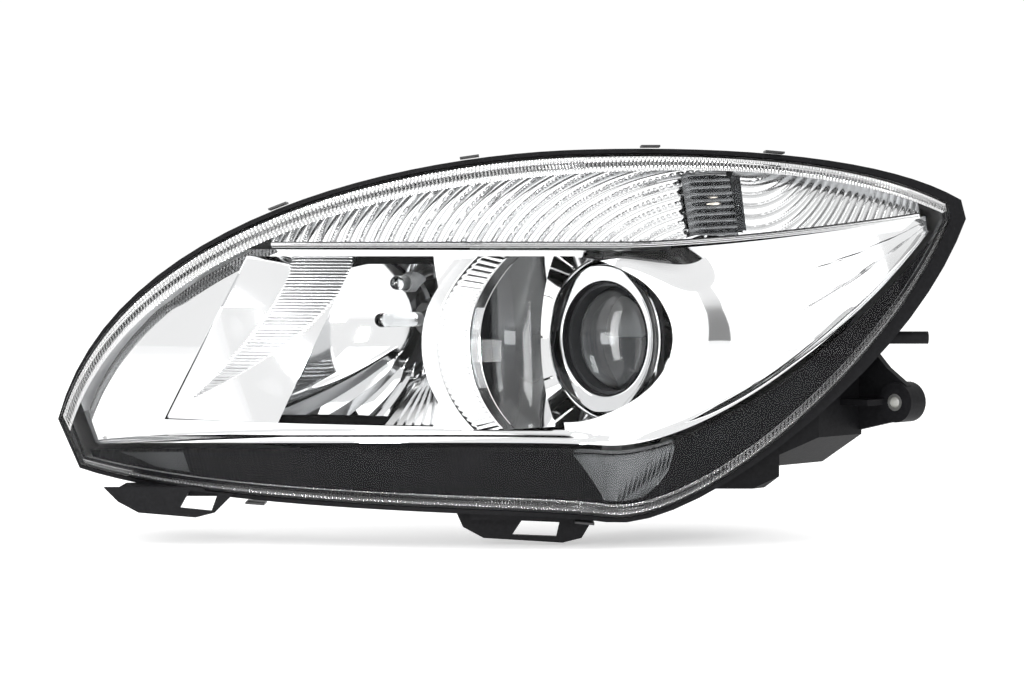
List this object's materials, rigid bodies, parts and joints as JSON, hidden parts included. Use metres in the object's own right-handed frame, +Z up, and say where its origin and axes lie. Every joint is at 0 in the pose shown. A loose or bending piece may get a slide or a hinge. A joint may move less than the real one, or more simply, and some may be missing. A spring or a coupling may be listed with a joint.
{
  "type": "car headlight",
  "caption": "Left front projector headlight for a small car: swept clear lens, bright reflectors, aiming frame, and black rear housing with adjusters, bulb caps and fixing ears.",
  "frame": {"origin": "centre of the bolt hole in the outer ear", "axes": "-Y is straight ahead of the car, +X is outboard (the left side of the car), +Z is up; +Y is the axis along which the ear bolt leaves"},
  "size_m": [0.4507, 0.459, 0.2509],
  "materials": {
    "housing_plastic": "black glass filled polypropylene, fine grain",
    "clear_lens": "clear moulded polycarbonate, hard coated",
    "seal": "soft grey black sealant",
    "spring_steel": "bright spring steel",
    "zinc_steel": "zinc plated steel",
    "bright_trim": "vacuum metallised, bright",
    "satin_trim": "vacuum metallised, fluted",
    "dark_trim": "gloss black moulding with fine flutes",
    "grey_insert": "grey fluted reflector",
    "frame_cast": "die cast, as cast",
    "nylon": "natural nylon",
    "cast_dark": "die cast, dark",
    "optic_glass": "pressed glass, polished",
    "bulb_glass": "thin clear glass",
    "amber_coat": "silvered amber bulb glass",
    "bulb_metal": "plain",
    "brass": "plain",
    "plug_plastic": "black nylon",
    "grey_plastic": "grey nylon",
    "motor_plastic": "black, fine grain",
    "cap_rubber": "moulded rubber",
    "cable": "wire insulation"
  },
  "bodies": {
    "lamp_body": {"housing": "housing_plastic", "lens_cover": "clear_lens", "lens_seal": "seal", "lens_clips": "spring_steel", "ear_bush": "zinc_steel", "bezel": "bright_trim", "shelf_trim": "bright_trim", "indicator_reflector_inner": "satin_trim", "indicator_reflector_outer": "satin_trim", "side_reflector": "satin_trim", "lower_mask": "dark_trim", "lower_inserts": "grey_insert", "shroud": "bright_trim", "shroud_ring": "satin_trim", "projector_collar": "bright_trim", "bezel_screws": "zinc_steel", "pivot_stud": "zinc_steel", "level_motor_case": "motor_plastic", "level_motor_lid": "motor_plastic", "level_motor_socket": "plug_plastic", "cap_rings": "seal", "main_socket": "plug_plastic", "main_socket_pins": "brass", "vents": "cap_rubber", "motor_screws": "zinc_steel", "inner_harness": "cable"},
    "swivel": {"pivot_cup": "nylon"},
    "aiming_frame": {"aim_frame": "frame_cast", "level_socket": "nylon", "aim_socket": "nylon", "projector_holder": "cast_dark", "projector_lens": "optic_glass", "lens_retainer": "spring_steel", "cutoff_shield": "spring_steel", "projector_reflector": "bulb_metal", "projector_screws": "zinc_steel", "projector_ring": "bright_trim", "low_bulb_glass": "bulb_glass", "low_bulb_base": "bulb_metal", "low_bulb_clip": "spring_steel", "low_bulb_plug": "plug_plastic", "high_reflector": "bright_trim", "high_bulb_glass": "bulb_glass", "high_bulb_base": "bulb_metal", "high_bulb_clip": "spring_steel", "high_bulb_plug": "plug_plastic", "position_bulb": "bulb_glass", "position_holder": "grey_plastic"},
    "level_adjuster": {"level_rod": "zinc_steel"},
    "level_wheel": {"level_knob": "nylon"},
    "side_adjuster": {"aim_rod": "zinc_steel"},
    "side_wheel": {"aim_knob": "nylon"},
    "low_beam_cap": {"low_cap": "cap_rubber"},
    "high_beam_cap": {"high_cap": "cap_rubber"},
    "turn_signal_bulb": {"indicator_bulb": "amber_coat", "indicator_bulb_base": "brass", "indicator_holder": "grey_plastic"}
  },
  "joints": [
    {"name": "side_swivel", "type": "hinge", "parent": "lamp_body", "child": "swivel", "pos_m": [-0.118, -0.138, 0.099], "axis": [0, 0, 1], "range_deg": [-2, 2]},
    {"name": "tilt", "type": "hinge", "parent": "swivel", "child": "aiming_frame", "pos_m": [-0.118, -0.138, 0.099], "axis": [1, 0, 0], "range_deg": [-2.5, 2.5]},
    {"name": "level_slide", "type": "slide", "parent": "lamp_body", "child": "level_adjuster", "axis": [0, 1, 0], "range_m": [-0.0058, 0.0058]},
    {"name": "level_turn", "type": "hinge", "parent": "lamp_body", "child": "level_wheel", "pos_m": [-0.118, -0.033, -0.03], "axis": [0, 1, 0], "range_deg": [-2100, 2100]},
    {"name": "side_slide", "type": "slide", "parent": "lamp_body", "child": "side_adjuster", "axis": [0, 1, 0], "range_m": [-0.0028, 0.0028]},
    {"name": "side_turn", "type": "hinge", "parent": "lamp_body", "child": "side_wheel", "pos_m": [-0.196, -0.108, 0.099], "axis": [0, 1, 0], "range_deg": [-1000, 1000]},
    {"name": "low_cap_pull", "type": "slide", "parent": "lamp_body", "child": "low_beam_cap", "axis": [0, 1, 0], "range_m": [0, 0.06]},
    {"name": "high_cap_pull", "type": "slide", "parent": "lamp_body", "child": "high_beam_cap", "axis": [0, 1, 0], "range_m": [0, 0.06]},
    {"name": "turn_signal_twist", "type": "hinge", "parent": "lamp_body", "child": "turn_signal_bulb", "pos_m": [-0.10032, -0.0789, 0.124], "axis": [-0.7071, 0.7071, 0], "range_deg": [0, 45]}
  ],
  "couplings": [
    {"joint": "level_slide", "follows": "tilt", "m_per_rad": 0.129},
    {"joint": "level_turn", "follows": "tilt", "ratio": 810.5},
    {"joint": "side_slide", "follows": "side_swivel", "m_per_rad": -0.078},
    {"joint": "side_turn", "follows": "side_swivel", "ratio": -490}
  ]
}
